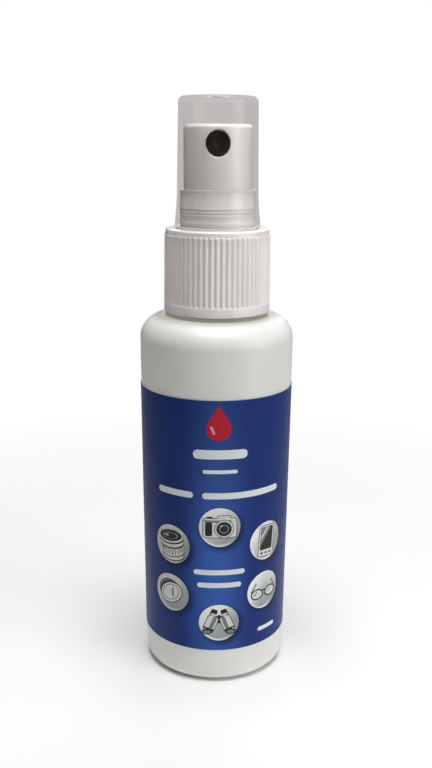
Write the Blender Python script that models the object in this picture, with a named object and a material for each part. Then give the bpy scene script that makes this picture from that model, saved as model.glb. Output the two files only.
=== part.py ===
"""Lens cleaning spray: a plastic bottle with a screw closure, a fine-mist finger pump and an overcap.

The origin is at the centre of the base, on the plane that the bottle stands on. +Z runs up the
bottle's axis, and the nozzle and the middle of the label face -Y. Every joint's axis is the Z axis.
"""

import math

import bmesh
import bpy
from mathutils import Matrix

MM = 0.001

# Bottle: a cylinder with a rounded shoulder, a recessed base and a threaded neck.
BOTTLE_RADIUS = 16.3 * MM
BOTTLE_WALL = 1.0 * MM
BASE_CORNER = 2.8 * MM
STANDING_RING_INNER = 10.5 * MM
BASE_RECESS_RADIUS = 8.5 * MM
BASE_RECESS_DEPTH = 1.0 * MM
BASE_THICKNESS = 1.2 * MM
SHOULDER_TOP = 81.3 * MM
SHOULDER_CORNER = 5.0 * MM
NECK_RADIUS = 7.85 * MM
NECK_BORE = 5.7 * MM
NECK_TOP = 94.7 * MM
NECK_EDGE = 0.3 * MM

# Screw thread shared by the neck and the closure.
THREAD_PITCH = 3.175 * MM
THREAD_TURNS = 1.5
THREAD_START = 87.5 * MM
THREAD_ROOT_HALF_WIDTH = 0.75 * MM
THREAD_CREST_HALF_WIDTH = 0.3 * MM
THREAD_RUN_OUT = 0.1
NECK_THREAD_CREST = 8.8 * MM
CLOSURE_THREAD_CREST = 8.05 * MM

# Label: a sleeve with a narrow gap at the back.
LABEL_BOTTOM = 8.65 * MM
LABEL_TOP = 66.6 * MM
LABEL_THICKNESS = 0.1 * MM
LABEL_LIFT = 0.04 * MM

# Closure: a ribbed screw collar with a turret that guides the spray head and holds the overcap.
CLOSURE_BOTTOM = 82.15 * MM
CLOSURE_TOP = 98.7 * MM
CLOSURE_BOTTOM_RADIUS = 11.15 * MM
CLOSURE_TOP_RADIUS = 10.85 * MM
CLOSURE_TOP_EDGE = 0.25 * MM
CLOSURE_BAND_INSET = 0.2 * MM
CLOSURE_BORE = 9.0 * MM
CLOSURE_PLATE = 1.1 * MM
CLOSURE_HOLE = 5.6 * MM
RIB_COUNT = 60
RIB_HEIGHT = 0.3 * MM
RIB_BOTTOM = 84.0 * MM
RIB_TOP = 97.8 * MM
RIB_RUN_OUT = 0.4 * MM
TURRET_RADIUS = 7.6 * MM
TURRET_BORE = 7.1 * MM
TURRET_TOP = 106.1 * MM
TURRET_BEAD = 0.1 * MM
TURRET_BEAD_HEIGHTS = (100.4 * MM, 102.3 * MM)

# Pump stack clamped between the neck and the closure's plate.
STACK_GAP = 0.05 * MM
GASKET_THICKNESS = 0.9 * MM
GASKET_RADIUS = 7.7 * MM
GASKET_BORE = 4.9 * MM
FLANGE_RADIUS = 7.85 * MM
HOUSING_FLANGE_THICKNESS = 1.0 * MM
LOCK_FLANGE_THICKNESS = 0.8 * MM

# Pump housing: a piston bore, a spring chamber, a valve seat and a socket for the dip tube.
PUMP_BODY_RADIUS = 4.7 * MM
PISTON_BORE = 3.4 * MM
PISTON_BORE_BOTTOM = 80.5 * MM
CHAMBER_RADIUS = 3.6 * MM
CHAMBER_BORE = 2.55 * MM
CHAMBER_BOTTOM = 70.7 * MM
SEAT_HOLE = 0.9 * MM
SEAT_BOTTOM = 70.3 * MM
TAIL_RADIUS = 2.5 * MM
TAIL_BOTTOM = 60.7 * MM
TAIL_SOCKET_RADIUS = 1.7 * MM
TAIL_SOCKET_TOP = 67.7 * MM
BALL_RIB_COUNT = 4
BALL_RIB_INNER = 2.0 * MM
BALL_RIB_WIDTH = 0.6 * MM
BALL_RIB_TOP = 73.8 * MM
BALL_RIB_SINK = 0.1 * MM
BALL_RADIUS = 1.9 * MM
BALL_CLEARANCE = 0.15 * MM
SEAT_SLOPE = math.radians(45)

# Stem, valve rod and piston.
STEM_RADIUS = 1.75 * MM
STEM_BORE = 0.9 * MM
STEM_BOTTOM = 89.3 * MM
STEM_TOP = 110.6 * MM
STEM_COLLAR_RADIUS = 2.9 * MM
STEM_COLLAR_TOP = 95.4 * MM
STEM_COLLAR_THICKNESS = 0.8 * MM
STEM_COLLAR_TAPER = 0.3 * MM
STEM_GUIDE_BORE = 1.95 * MM
ROD_RADIUS = 0.8 * MM
ROD_TOP = 92.7 * MM
ROD_FLANGE_RADIUS = 2.9 * MM
ROD_FLANGE_BOTTOM = 84.9 * MM
ROD_FLANGE_TOP = 85.7 * MM
ROD_BOSS_RADIUS = 1.5 * MM
ROD_BOSS_BOTTOM = 82.9 * MM
CONE_RADIUS = 2.4 * MM
CONE_HEIGHT = 1.6 * MM
CONE_TOP_RADIUS = 1.1 * MM
PISTON_LIP_RADIUS = 3.33 * MM
PISTON_WAIST_RADIUS = 2.8 * MM
PISTON_INNER = 1.9 * MM
PISTON_BOTTOM = 86.45 * MM
PISTON_TOP = 91.3 * MM

# Springs.
MAIN_SPRING_RADIUS = 2.0 * MM
MAIN_SPRING_WIRE = 0.25 * MM
MAIN_SPRING_TURNS = 7
LAG_SPRING_RADIUS = 2.2 * MM
LAG_SPRING_WIRE = 0.18 * MM
LAG_SPRING_TURNS = 3
SPRING_END_GAP = 0.1 * MM

# Dip tube.
TUBE_RADIUS = 1.6 * MM
TUBE_BORE = 1.0 * MM
TUBE_BOTTOM = 3.0 * MM
TUBE_TOP = 67.2 * MM
TUBE_SLANT = 0.6

# Spray head: a hollow finger button with a side nozzle.
HEAD_RADIUS = 6.85 * MM
HEAD_SKIRT_BORE = 5.85 * MM
HEAD_BOTTOM = 104.4 * MM
HEAD_TOP = 118.35 * MM
HEAD_ROOF = 111.6 * MM
HEAD_EDGE = 0.5 * MM
HEAD_DISH_RADIUS = 5.8 * MM
HEAD_DISH_DEPTH = 0.4 * MM
SOCKET_RADIUS = 3.0 * MM
SOCKET_BORE = 1.82 * MM
SOCKET_BOTTOM = 105.0 * MM
NOZZLE_HEIGHT = 114.9 * MM
NOZZLE_RADIUS = 2.31 * MM
NOZZLE_FIT = 0.1 * MM
NOZZLE_FRONT = 6.45 * MM
NOZZLE_LENGTH = 3.0 * MM
NOZZLE_CUP_BORE = 1.5 * MM
NOZZLE_FACE_THICKNESS = 0.9 * MM
NOZZLE_CONE_RADIUS = 0.9 * MM
NOZZLE_CONE_DEPTH = 0.5 * MM
ORIFICE_RADIUS = 0.15 * MM
CHANNEL_RADIUS = 0.6 * MM

# Overcap: a tapered cup with a flared rim and an inner step that rests on the turret.
OVERCAP_BOTTOM = 99.05 * MM
OVERCAP_TOP = 123.45 * MM
OVERCAP_RIM_RADIUS = 8.74 * MM
OVERCAP_WAIST_RADIUS = 8.24 * MM
OVERCAP_WAIST_HEIGHT = 106.1 * MM
OVERCAP_TOP_RADIUS = 7.86 * MM
OVERCAP_CORNER = 1.1 * MM
OVERCAP_WALL = 0.85 * MM
OVERCAP_ROOF = 1.2 * MM
OVERCAP_SOCKET_RADIUS = 7.78 * MM
OVERCAP_STEP_GAP = 0.2 * MM
FLARE_POWER = 1.5

# Liquid: 50 ml in the bottle, as a rigid stand-in with room for the pump.
LIQUID_GAP = 0.15 * MM
LIQUID_TOP = 72.5 * MM
LIQUID_CLEARANCE = 0.3 * MM

# Fineness of the round shapes.
BODY_SEGMENTS = 40
PUMP_SEGMENTS = 24
TUBE_SEGMENTS = 20
BALL_SEGMENTS = 20
BALL_RINGS = 12
COIL_SEGMENTS = 10
WIRE_SIDES = 5
SHOULDER_STEPS = 6
CORNER_STEPS = 3
INNER_STEPS = 2
SHARP_ANGLE = math.radians(35)

# Distance for merging points, and how far a joined shape is buried in its neighbour.
WELD = 0.001 * MM
EMBED = 0.4 * MM


def clear_scene():
    for item in list(bpy.data.objects):
        bpy.data.objects.remove(item, do_unlink=True)


def plastic(name, colour, roughness, metallic=0.0, alpha=1.0):
    """A Principled material of one finish."""
    material = bpy.data.materials.new(name)
    material.use_nodes = True
    shader = material.node_tree.nodes["Principled BSDF"]
    shader.inputs["Base Color"].default_value = (*colour, 1.0)
    shader.inputs["Roughness"].default_value = roughness
    shader.inputs["Metallic"].default_value = metallic
    shader.inputs["Alpha"].default_value = alpha
    return material


def joint_axis(name, height, parent=None):
    """An empty on the Z axis that carries the pieces of one moving body."""
    empty = bpy.data.objects.new(name, None)
    empty.empty_display_size = 5 * MM
    bpy.context.scene.collection.objects.link(empty)
    place(empty, height, parent)
    return empty


def place(item, height, parent):
    """Put an object's origin on the Z axis at a world height, under its parent."""
    item.parent = parent
    item["world_height"] = height
    parent_height = parent["world_height"] if parent else 0.0
    item.location = (0.0, 0.0, height - parent_height)


def add_piece(name, bm, material, base, parent=None):
    """Turn a mesh drawn in world heights into an object whose origin is on the axis at its base."""
    bmesh.ops.recalc_face_normals(bm, faces=bm.faces)
    bmesh.ops.translate(bm, verts=bm.verts, vec=(0.0, 0.0, -base))
    mesh = bpy.data.meshes.new(name)
    bm.to_mesh(mesh)
    bm.free()
    mesh.shade_smooth()
    mesh.set_sharp_from_angle(angle=SHARP_ANGLE)
    piece = bpy.data.objects.new(name, mesh)
    bpy.context.scene.collection.objects.link(piece)
    if material:
        mesh.materials.append(material)
    place(piece, base, parent)
    return piece


def arc(centre_radius, centre_height, radius, start, end, steps):
    """Outline points on a round corner, between two angles in degrees."""
    points = []
    for step in range(steps + 1):
        angle = math.radians(start + (end - start) * step / steps)
        across = centre_radius + radius * math.cos(angle)
        points.append((across, centre_height + radius * math.sin(angle)))
    return points


def turned(outline, segments):
    """Spin a closed outline of (radius, height) points round the Z axis."""
    bm = bmesh.new()
    corners = [bm.verts.new((radius, 0.0, height)) for radius, height in outline]
    edges = []
    for first, second in zip(corners, corners[1:] + corners[:1]):
        if first.co.x > 0.0 or second.co.x > 0.0:
            edges.append(bm.edges.new((first, second)))
    bmesh.ops.spin(
        bm,
        geom=corners + edges,
        cent=(0, 0, 0),
        axis=(0, 0, 1),
        angle=math.tau,
        steps=segments,
        use_merge=True,
    )
    bmesh.ops.remove_doubles(bm, verts=bm.verts, dist=WELD)
    return bm


def swept(sections):
    """Skin a row of closed sections, each a list of points, and cap both ends."""
    bm = bmesh.new()
    rows = [[bm.verts.new(point) for point in section] for section in sections]
    count = len(rows[0])
    for lower, upper in zip(rows, rows[1:]):
        for i in range(count):
            j = (i + 1) % count
            bm.faces.new((lower[i], lower[j], upper[j], upper[i]))
    bm.faces.new(rows[0])
    bm.faces.new(rows[-1])
    return bm


def cylindrical(radius, angle, height):
    return (radius * math.cos(angle), radius * math.sin(angle), height)


def combine(piece, tool, operation):
    """Apply a Boolean to a piece with a tool that isn't itself part of the model."""
    tool.hide_render = True
    tool.display_type = "WIRE"
    modifier = piece.modifiers.new(tool.name, "BOOLEAN")
    modifier.operation = operation
    modifier.solver = "EXACT"
    modifier.object = tool


def thread_ridge(root, crest, start_height, segments_per_turn):
    """A right-hand thread ridge, buried in the wall at its root, that sinks into it at both ends."""
    outward = 1.0 if crest > root else -1.0
    buried = root - outward * EMBED
    sunk = root - outward * 0.5 * EMBED
    steps = round(THREAD_TURNS * segments_per_turn)
    sections = []
    for step in range(steps + 1):
        share = step / steps
        rise = min(1.0, share / THREAD_RUN_OUT, (1.0 - share) / THREAD_RUN_OUT)
        tip = sunk + (crest - sunk) * rise
        angle = math.tau * THREAD_TURNS * share
        height = start_height + THREAD_PITCH * THREAD_TURNS * share
        sections.append([
            cylindrical(buried, angle, height - THREAD_ROOT_HALF_WIDTH),
            cylindrical(tip, angle, height - THREAD_CREST_HALF_WIDTH),
            cylindrical(tip, angle, height + THREAD_CREST_HALF_WIDTH),
            cylindrical(buried, angle, height + THREAD_ROOT_HALF_WIDTH),
        ])
    ridge = swept(sections)
    bmesh.ops.triangulate(ridge, faces=ridge.faces)
    return ridge


def coil_spring(radius, wire, bottom, top, turns):
    """A compression spring with one closed turn at each end."""
    closed_rise = 2.0 * wire + SPRING_END_GAP
    open_rise = (top - bottom - 2.0 * wire - 2.0 * closed_rise) / (turns - 2)
    sections = []
    for step in range(turns * COIL_SEGMENTS + 1):
        turn = step / COIL_SEGMENTS
        height = bottom + wire + closed_rise * min(turn, 1.0)
        height += open_rise * min(max(turn - 1.0, 0.0), turns - 2.0)
        height += closed_rise * max(turn - (turns - 1.0), 0.0)
        section = []
        for side in range(WIRE_SIDES):
            around = math.tau * side / WIRE_SIDES
            across = radius + wire * math.cos(around)
            section.append(cylindrical(across, math.tau * turn, height + wire * math.sin(around)))
        sections.append(section)
    return swept(sections)


def make_bottle(material):
    centre = BOTTLE_RADIUS - SHOULDER_CORNER
    shoulder_start = SHOULDER_TOP - SHOULDER_CORNER
    inner_radius = BOTTLE_RADIUS - BOTTLE_WALL
    inner_corner = SHOULDER_CORNER - BOTTLE_WALL
    floor = BASE_RECESS_DEPTH + BASE_THICKNESS
    floor_corner = BASE_CORNER - 0.5 * BOTTLE_WALL
    neck_fillet = 0.5 * MM
    outline = [(NECK_RADIUS - NECK_EDGE, NECK_TOP), (NECK_RADIUS, NECK_TOP - NECK_EDGE)]
    outline += [(NECK_RADIUS, SHOULDER_TOP + neck_fillet), (NECK_RADIUS + neck_fillet, SHOULDER_TOP)]
    outline += arc(centre, shoulder_start, SHOULDER_CORNER, 90, 0, SHOULDER_STEPS)
    outline += arc(BOTTLE_RADIUS - BASE_CORNER, BASE_CORNER, BASE_CORNER, 0, -90, CORNER_STEPS)
    outline += [(STANDING_RING_INNER, 0.0), (BASE_RECESS_RADIUS, BASE_RECESS_DEPTH)]
    outline += [(0.0, BASE_RECESS_DEPTH), (0.0, floor)]
    outline += arc(inner_radius - floor_corner, floor + floor_corner, floor_corner, -90, 0, INNER_STEPS)
    outline += arc(centre, shoulder_start, inner_corner, 0, 90, CORNER_STEPS)
    outline += [(NECK_BORE + neck_fillet, SHOULDER_TOP - BOTTLE_WALL)]
    outline += [(NECK_BORE, SHOULDER_TOP - BOTTLE_WALL + neck_fillet), (NECK_BORE, NECK_TOP)]
    bottle = add_piece("bottle", turned(outline, BODY_SEGMENTS), material, 0.0)
    ridge = thread_ridge(NECK_RADIUS, NECK_THREAD_CREST, THREAD_START, PUMP_SEGMENTS)
    combine(bottle, add_piece("neck_thread_tool", ridge, None, THREAD_START), "UNION")


def make_label(material):
    inner = BOTTLE_RADIUS + LABEL_LIFT
    outer = inner + LABEL_THICKNESS
    back = 0.5 * math.pi
    sections = []
    for step in range(BODY_SEGMENTS):
        angle = back + math.tau * (step + 1) / BODY_SEGMENTS
        sections.append([
            cylindrical(inner, angle, LABEL_BOTTOM),
            cylindrical(outer, angle, LABEL_BOTTOM),
            cylindrical(outer, angle, LABEL_TOP),
            cylindrical(inner, angle, LABEL_TOP),
        ])
    add_piece("label", swept(sections), material, LABEL_BOTTOM)


def make_liquid(material):
    radius = BOTTLE_RADIUS - BOTTLE_WALL - LIQUID_GAP
    bottom = BASE_RECESS_DEPTH + BASE_THICKNESS + LIQUID_GAP
    corner = BASE_CORNER - 0.5 * BOTTLE_WALL
    tube_hole = TUBE_RADIUS + LIQUID_CLEARANCE
    tail_hole = TAIL_RADIUS + LIQUID_CLEARANCE
    chamber_hole = CHAMBER_RADIUS + LIQUID_CLEARANCE
    chamber_step = CHAMBER_BOTTOM - (CHAMBER_RADIUS - TAIL_RADIUS) - 2.0 * LIQUID_CLEARANCE
    outline = [(chamber_hole, LIQUID_TOP), (radius, LIQUID_TOP)]
    outline += arc(radius - corner, bottom + corner, corner, 0, -90, INNER_STEPS)
    outline += [(tube_hole, bottom), (tube_hole, TAIL_BOTTOM - LIQUID_CLEARANCE)]
    outline += [(tail_hole, TAIL_BOTTOM - LIQUID_CLEARANCE), (tail_hole, chamber_step)]
    outline += [(chamber_hole, chamber_step)]
    add_piece("cleaning_fluid", turned(outline, PUMP_SEGMENTS), material, bottom)


def closure_ring(crest_radius, rib_height, height):
    """One ring round the closure, with a point on each rib's crest and one in each groove."""
    points = []
    for rib in range(RIB_COUNT):
        points.append(cylindrical(crest_radius, math.tau * rib / RIB_COUNT, height))
        points.append(cylindrical(crest_radius - rib_height, math.tau * (rib + 0.5) / RIB_COUNT, height))
    return points


def closure_radius(height):
    """Outer radius of the tapered closure at a height, on the crests of the ribs."""
    share = (height - CLOSURE_BOTTOM) / (CLOSURE_TOP - CLOSURE_BOTTOM)
    return CLOSURE_BOTTOM_RADIUS + (CLOSURE_TOP_RADIUS - CLOSURE_BOTTOM_RADIUS) * share


def make_closure(material, parent):
    groove_low = RIB_BOTTOM + RIB_RUN_OUT
    groove_high = RIB_TOP - RIB_RUN_OUT
    band_radius = closure_radius(CLOSURE_TOP) - CLOSURE_BAND_INSET
    rings = [
        closure_ring(closure_radius(CLOSURE_BOTTOM), 0.0, CLOSURE_BOTTOM),
        closure_ring(closure_radius(RIB_BOTTOM), 0.0, RIB_BOTTOM),
        closure_ring(closure_radius(groove_low), RIB_HEIGHT, groove_low),
        closure_ring(closure_radius(groove_high), RIB_HEIGHT, groove_high),
        closure_ring(band_radius, 0.0, RIB_TOP),
        closure_ring(band_radius, 0.0, CLOSURE_TOP - CLOSURE_TOP_EDGE),
        closure_ring(band_radius - CLOSURE_TOP_EDGE, 0.0, CLOSURE_TOP),
    ]
    closure = add_piece("closure", swept(rings), material, CLOSURE_BOTTOM, parent)

    beyond = 1.0 * MM
    plate_bottom = CLOSURE_TOP - CLOSURE_PLATE
    cavity = [(0.0, CLOSURE_TOP + beyond), (CLOSURE_HOLE, CLOSURE_TOP + beyond)]
    cavity += [(CLOSURE_HOLE, plate_bottom), (CLOSURE_BORE, plate_bottom)]
    cavity += [(CLOSURE_BORE, CLOSURE_BOTTOM + EMBED), (CLOSURE_BORE + EMBED, CLOSURE_BOTTOM)]
    cavity += [(CLOSURE_BORE + EMBED, CLOSURE_BOTTOM - beyond), (0.0, CLOSURE_BOTTOM - beyond)]
    bore = turned(cavity, BODY_SEGMENTS)
    combine(closure, add_piece("closure_bore_tool", bore, None, CLOSURE_BOTTOM, parent), "DIFFERENCE")

    turret = [(TURRET_BORE, CLOSURE_TOP - EMBED), (TURRET_RADIUS, CLOSURE_TOP - EMBED)]
    bead_half_width = 0.35 * MM
    for height in TURRET_BEAD_HEIGHTS:
        turret.append((TURRET_RADIUS, height - bead_half_width))
        turret.append((TURRET_RADIUS + TURRET_BEAD, height))
        turret.append((TURRET_RADIUS, height + bead_half_width))
    turret += [(TURRET_RADIUS, TURRET_TOP - TURRET_BEAD), (TURRET_RADIUS - TURRET_BEAD, TURRET_TOP)]
    turret += [(TURRET_BORE, TURRET_TOP)]
    tower = turned(turret, BODY_SEGMENTS)
    combine(closure, add_piece("turret_tool", tower, None, CLOSURE_TOP, parent), "UNION")

    ridge_start = THREAD_START - 0.5 * THREAD_PITCH
    ridge = thread_ridge(CLOSURE_BORE, CLOSURE_THREAD_CREST, ridge_start, PUMP_SEGMENTS)
    combine(closure, add_piece("closure_thread_tool", ridge, None, ridge_start, parent), "UNION")


def make_gasket(material, parent):
    bottom = NECK_TOP + STACK_GAP
    top = bottom + GASKET_THICKNESS
    outline = [(GASKET_RADIUS, top), (GASKET_RADIUS, bottom), (GASKET_BORE, bottom), (GASKET_BORE, top)]
    add_piece("gasket", turned(outline, PUMP_SEGMENTS), material, bottom, parent)
    return top


def make_housing(material, flange_bottom, parent):
    flange_top = flange_bottom + HOUSING_FLANGE_THICKNESS
    cone_top = SEAT_BOTTOM + (CHAMBER_BORE - SEAT_HOLE)
    body_step = PISTON_BORE_BOTTOM - (PUMP_BODY_RADIUS - CHAMBER_RADIUS)
    bore_step = PISTON_BORE_BOTTOM - (PISTON_BORE - CHAMBER_BORE)
    tail_step = CHAMBER_BOTTOM - (CHAMBER_RADIUS - TAIL_RADIUS)
    outline = [(FLANGE_RADIUS, flange_top), (FLANGE_RADIUS, flange_bottom)]
    outline += [(PUMP_BODY_RADIUS, flange_bottom), (PUMP_BODY_RADIUS, PISTON_BORE_BOTTOM)]
    outline += [(CHAMBER_RADIUS, body_step), (CHAMBER_RADIUS, CHAMBER_BOTTOM)]
    outline += [(TAIL_RADIUS, tail_step), (TAIL_RADIUS, TAIL_BOTTOM), (TAIL_SOCKET_RADIUS, TAIL_BOTTOM)]
    outline += [(TAIL_SOCKET_RADIUS, TAIL_SOCKET_TOP), (SEAT_HOLE, TAIL_SOCKET_TOP)]
    outline += [(SEAT_HOLE, SEAT_BOTTOM), (CHAMBER_BORE, cone_top), (CHAMBER_BORE, bore_step)]
    outline += [(PISTON_BORE, PISTON_BORE_BOTTOM), (PISTON_BORE, flange_top)]
    housing = add_piece("pump_housing", turned(outline, PUMP_SEGMENTS), material, TAIL_BOTTOM, parent)

    rib_bottom = SEAT_BOTTOM + (BALL_RIB_INNER - SEAT_HOLE) - BALL_RIB_SINK
    rib_length = CHAMBER_BORE + EMBED - BALL_RIB_INNER
    rib_height = BALL_RIB_TOP - rib_bottom
    ribs = bmesh.new()
    for rib in range(BALL_RIB_COUNT):
        size = Matrix.Diagonal((rib_length, BALL_RIB_WIDTH, rib_height, 1.0))
        middle = (BALL_RIB_INNER + 0.5 * rib_length, 0.0, rib_bottom + 0.5 * rib_height)
        offset = Matrix.Translation(middle)
        turn = Matrix.Rotation(math.tau * (rib + 0.5) / BALL_RIB_COUNT, 4, "Z")
        bmesh.ops.create_cube(ribs, size=1.0, matrix=turn @ offset @ size)
    combine(housing, add_piece("ball_rib_tool", ribs, None, rib_bottom, parent), "UNION")
    return flange_top


def make_lock_ring(material, flange_bottom, parent):
    """The ring that shuts the housing, stops the stem's collar and guides the stem."""
    flange_top = flange_bottom + LOCK_FLANGE_THICKNESS
    plug_bottom = STEM_COLLAR_TOP + 0.2 * MM
    plug_radius = PISTON_BORE - 0.2 * MM
    rim_outer = CLOSURE_HOLE - 0.4 * MM
    rim_inner = rim_outer - 1.0 * MM
    rim_top = CLOSURE_TOP + 0.6 * MM
    groove_floor = flange_top + 0.5 * MM
    tower_radius = STEM_GUIDE_BORE + 1.05 * MM
    tower_top = CLOSURE_TOP + 1.5 * MM
    outline = [(STEM_GUIDE_BORE, tower_top), (tower_radius, tower_top), (tower_radius, groove_floor)]
    outline += [(rim_inner, groove_floor), (rim_inner, rim_top), (rim_outer, rim_top)]
    outline += [(rim_outer, flange_top), (FLANGE_RADIUS, flange_top), (FLANGE_RADIUS, flange_bottom)]
    outline += [(plug_radius, flange_bottom), (plug_radius, plug_bottom), (STEM_GUIDE_BORE, plug_bottom)]
    add_piece("lock_ring", turned(outline, PUMP_SEGMENTS), material, plug_bottom, parent)


def make_dip_tube(material, parent):
    """A straight tube, cut on a slant at its foot so that it can't seal against the base."""
    outline = [(TUBE_RADIUS, TUBE_TOP), (TUBE_RADIUS, TUBE_BOTTOM)]
    outline += [(TUBE_BORE, TUBE_BOTTOM), (TUBE_BORE, TUBE_TOP)]
    tube = turned(outline, TUBE_SEGMENTS)
    for vert in tube.verts:
        if vert.co.z < TUBE_BOTTOM + WELD:
            vert.co.z += TUBE_SLANT * (TUBE_RADIUS + vert.co.x)
    add_piece("dip_tube", tube, material, TUBE_BOTTOM, parent)


def make_check_ball(material, parent):
    """A ball just clear of the sloping seat under it."""
    touch_radius = BALL_RADIUS * math.sin(SEAT_SLOPE)
    centre = SEAT_BOTTOM + (touch_radius - SEAT_HOLE) + touch_radius + BALL_CLEARANCE
    ball = bmesh.new()
    bmesh.ops.create_uvsphere(ball, u_segments=BALL_SEGMENTS, v_segments=BALL_RINGS, radius=BALL_RADIUS)
    bmesh.ops.translate(ball, verts=ball.verts, vec=(0.0, 0.0, centre))
    add_piece("check_ball", ball, material, centre, parent)


def make_upper_stem(material, parent):
    collar_bottom = STEM_COLLAR_TOP - STEM_COLLAR_THICKNESS
    outline = [(STEM_BORE, STEM_TOP), (STEM_RADIUS, STEM_TOP), (STEM_RADIUS, STEM_COLLAR_TOP)]
    outline += [(STEM_COLLAR_RADIUS, STEM_COLLAR_TOP), (STEM_COLLAR_RADIUS, collar_bottom)]
    outline += [(STEM_RADIUS, collar_bottom - STEM_COLLAR_TAPER)]
    outline += [(STEM_RADIUS, STEM_BOTTOM), (STEM_BORE, STEM_BOTTOM)]
    add_piece("upper_stem", turned(outline, PUMP_SEGMENTS), material, STEM_BOTTOM, parent)
    return collar_bottom


def make_lower_stem(material, parent):
    """The valve rod: a boss inside the main spring, a flange, the valve cone and a rod in the stem."""
    cone_top = ROD_FLANGE_TOP + CONE_HEIGHT
    outline = [(0.0, ROD_TOP), (ROD_RADIUS, ROD_TOP), (ROD_RADIUS, cone_top)]
    outline += [(CONE_TOP_RADIUS, cone_top), (CONE_RADIUS, ROD_FLANGE_TOP)]
    outline += [(ROD_FLANGE_RADIUS, ROD_FLANGE_TOP)]
    outline += [(ROD_FLANGE_RADIUS, ROD_FLANGE_BOTTOM), (ROD_BOSS_RADIUS, ROD_FLANGE_BOTTOM)]
    outline += [(ROD_BOSS_RADIUS, ROD_BOSS_BOTTOM), (0.0, ROD_BOSS_BOTTOM)]
    add_piece("lower_stem", turned(outline, PUMP_SEGMENTS), material, ROD_BOSS_BOTTOM, parent)


def make_piston(material, parent):
    """A sleeve round the stem with a wiping lip at each end."""
    lip_height = 0.9 * MM
    lip_reach = 0.35 * MM
    sleeve_radius = PISTON_INNER + 0.5 * MM
    upper_lip_top = PISTON_TOP - 0.2 * MM
    lower_lip_bottom = PISTON_BOTTOM - lip_reach
    outline = [(PISTON_INNER, PISTON_TOP), (sleeve_radius, PISTON_TOP)]
    outline += [(sleeve_radius, upper_lip_top - lip_reach)]
    outline += [(PISTON_WAIST_RADIUS, upper_lip_top - lip_reach), (PISTON_LIP_RADIUS, upper_lip_top)]
    outline += [(PISTON_LIP_RADIUS, upper_lip_top - lip_height)]
    outline += [(PISTON_WAIST_RADIUS, upper_lip_top - 2.0 * lip_height)]
    outline += [(PISTON_WAIST_RADIUS, lower_lip_bottom + 2.0 * lip_height)]
    outline += [(PISTON_LIP_RADIUS, lower_lip_bottom + lip_height)]
    outline += [(PISTON_LIP_RADIUS, lower_lip_bottom)]
    outline += [(PISTON_WAIST_RADIUS, PISTON_BOTTOM), (PISTON_INNER, PISTON_BOTTOM)]
    add_piece("piston", turned(outline, PUMP_SEGMENTS), material, lower_lip_bottom, parent)


def make_actuator(material, parent):
    corner = arc(HEAD_RADIUS - HEAD_EDGE, HEAD_TOP - HEAD_EDGE, HEAD_EDGE, 90, 0, INNER_STEPS)
    channel_top = NOZZLE_HEIGHT + CHANNEL_RADIUS
    socket_top = STEM_TOP + 0.3 * MM
    outline = [(0.0, HEAD_TOP - HEAD_DISH_DEPTH)]
    for ring in range(1, CORNER_STEPS + 1):
        share = ring / CORNER_STEPS
        outline.append((HEAD_DISH_RADIUS * share, HEAD_TOP - HEAD_DISH_DEPTH * (1.0 - share * share)))
    outline += corner
    outline += [(HEAD_RADIUS, HEAD_BOTTOM), (HEAD_SKIRT_BORE, HEAD_BOTTOM), (HEAD_SKIRT_BORE, HEAD_ROOF)]
    outline += [(SOCKET_RADIUS, HEAD_ROOF), (SOCKET_RADIUS, SOCKET_BOTTOM), (SOCKET_BORE, SOCKET_BOTTOM)]
    outline += [(SOCKET_BORE, socket_top), (STEM_BORE, socket_top)]
    outline += [(STEM_BORE, channel_top), (0.0, channel_top)]
    actuator = add_piece("actuator", turned(outline, BODY_SEGMENTS), material, HEAD_BOTTOM, parent)

    recess_back = NOZZLE_FRONT - NOZZLE_LENGTH - NOZZLE_FIT
    recess_radius = NOZZLE_RADIUS + NOZZLE_FIT
    beyond = HEAD_RADIUS + 1.0 * MM
    recess = [(0.0, beyond), (recess_radius, beyond), (recess_radius, recess_back)]
    recess += [(CHANNEL_RADIUS, recess_back), (CHANNEL_RADIUS, 0.0), (0.0, 0.0)]
    drill = turned(recess, PUMP_SEGMENTS)
    face_front(drill)
    combine(actuator, add_piece("nozzle_recess_tool", drill, None, NOZZLE_HEIGHT, parent), "DIFFERENCE")


def face_front(bm):
    """Lay a piece turned round Z along -Y, at the height of the nozzle."""
    quarter_turn = Matrix.Rotation(math.radians(90), 3, "X")
    bmesh.ops.rotate(bm, verts=bm.verts, cent=(0, 0, 0), matrix=quarter_turn)
    bmesh.ops.translate(bm, verts=bm.verts, vec=(0.0, 0.0, NOZZLE_HEIGHT))


def make_nozzle(material, parent):
    """A cup that presses into the spray head, with a fine hole at the bottom of a cone."""
    back = NOZZLE_FRONT - NOZZLE_LENGTH
    cup_floor = NOZZLE_FRONT - NOZZLE_FACE_THICKNESS
    cone_floor = NOZZLE_FRONT - NOZZLE_CONE_DEPTH
    edge = 0.2 * MM
    outline = [(NOZZLE_CONE_RADIUS, NOZZLE_FRONT), (NOZZLE_RADIUS - edge, NOZZLE_FRONT)]
    outline += [(NOZZLE_RADIUS, NOZZLE_FRONT - edge), (NOZZLE_RADIUS, back), (NOZZLE_CUP_BORE, back)]
    outline += [(NOZZLE_CUP_BORE, cup_floor), (ORIFICE_RADIUS, cup_floor), (ORIFICE_RADIUS, cone_floor)]
    nozzle = turned(outline, PUMP_SEGMENTS)
    face_front(nozzle)
    add_piece("nozzle_insert", nozzle, material, NOZZLE_HEIGHT, parent)


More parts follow.
